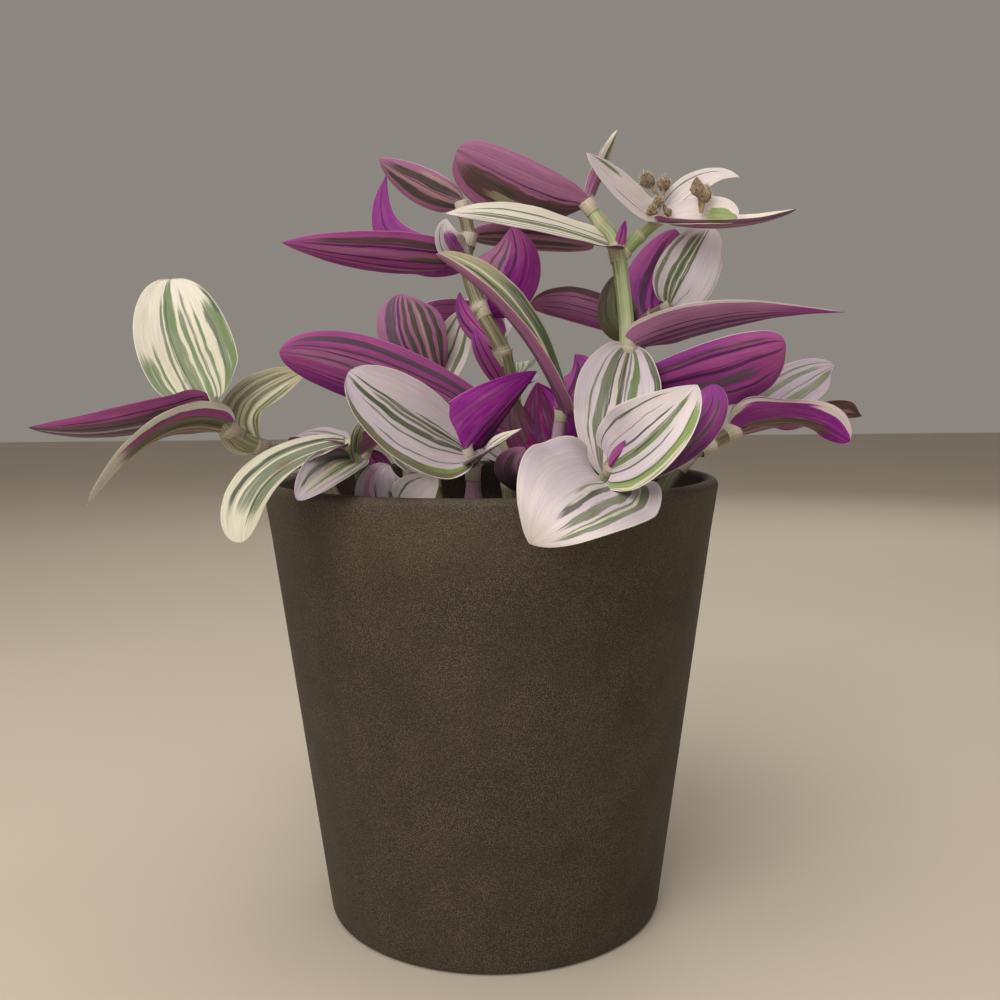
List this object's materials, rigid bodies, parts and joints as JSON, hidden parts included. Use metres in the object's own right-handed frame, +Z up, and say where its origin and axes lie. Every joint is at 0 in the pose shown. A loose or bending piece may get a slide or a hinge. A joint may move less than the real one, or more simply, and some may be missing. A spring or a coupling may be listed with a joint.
{
  "type": "potted plant",
  "caption": "Variegated purple, green and white tradescantia growing in a tapered dark stoneware pot.",
  "frame": {"origin": "centre of the pot's foot, in the plane that it stands on", "axes": "+Z up the pot's axis, -Y towards the front, +X to the right as seen from the front"},
  "size_m": [0.2516, 0.2019, 0.2422],
  "materials": {
    "stoneware": "satin, finely speckled",
    "soil": "matte",
    "foliage": "satin",
    "dry_buds": "matte"
  },
  "bodies": {
    "root": {"pot": "stoneware", "soil": "soil", "shoot_left_trailing": "foliage", "shoot_front_left": "foliage", "shoot_rim_seedling": "foliage", "shoot_front": "foliage", "shoot_centre": "foliage", "shoot_middle": "foliage", "shoot_right_flowering": "foliage", "shoot_right_inner": "foliage", "shoot_front_right": "foliage", "shoot_right_trailing": "foliage", "shoot_back_left": "foliage", "shoot_back_middle": "foliage", "shoot_back_trailing": "foliage", "shoot_back_right": "foliage", "flower_buds": "dry_buds", "flower_buds_outer": "dry_buds"}
  },
  "joints": []
}
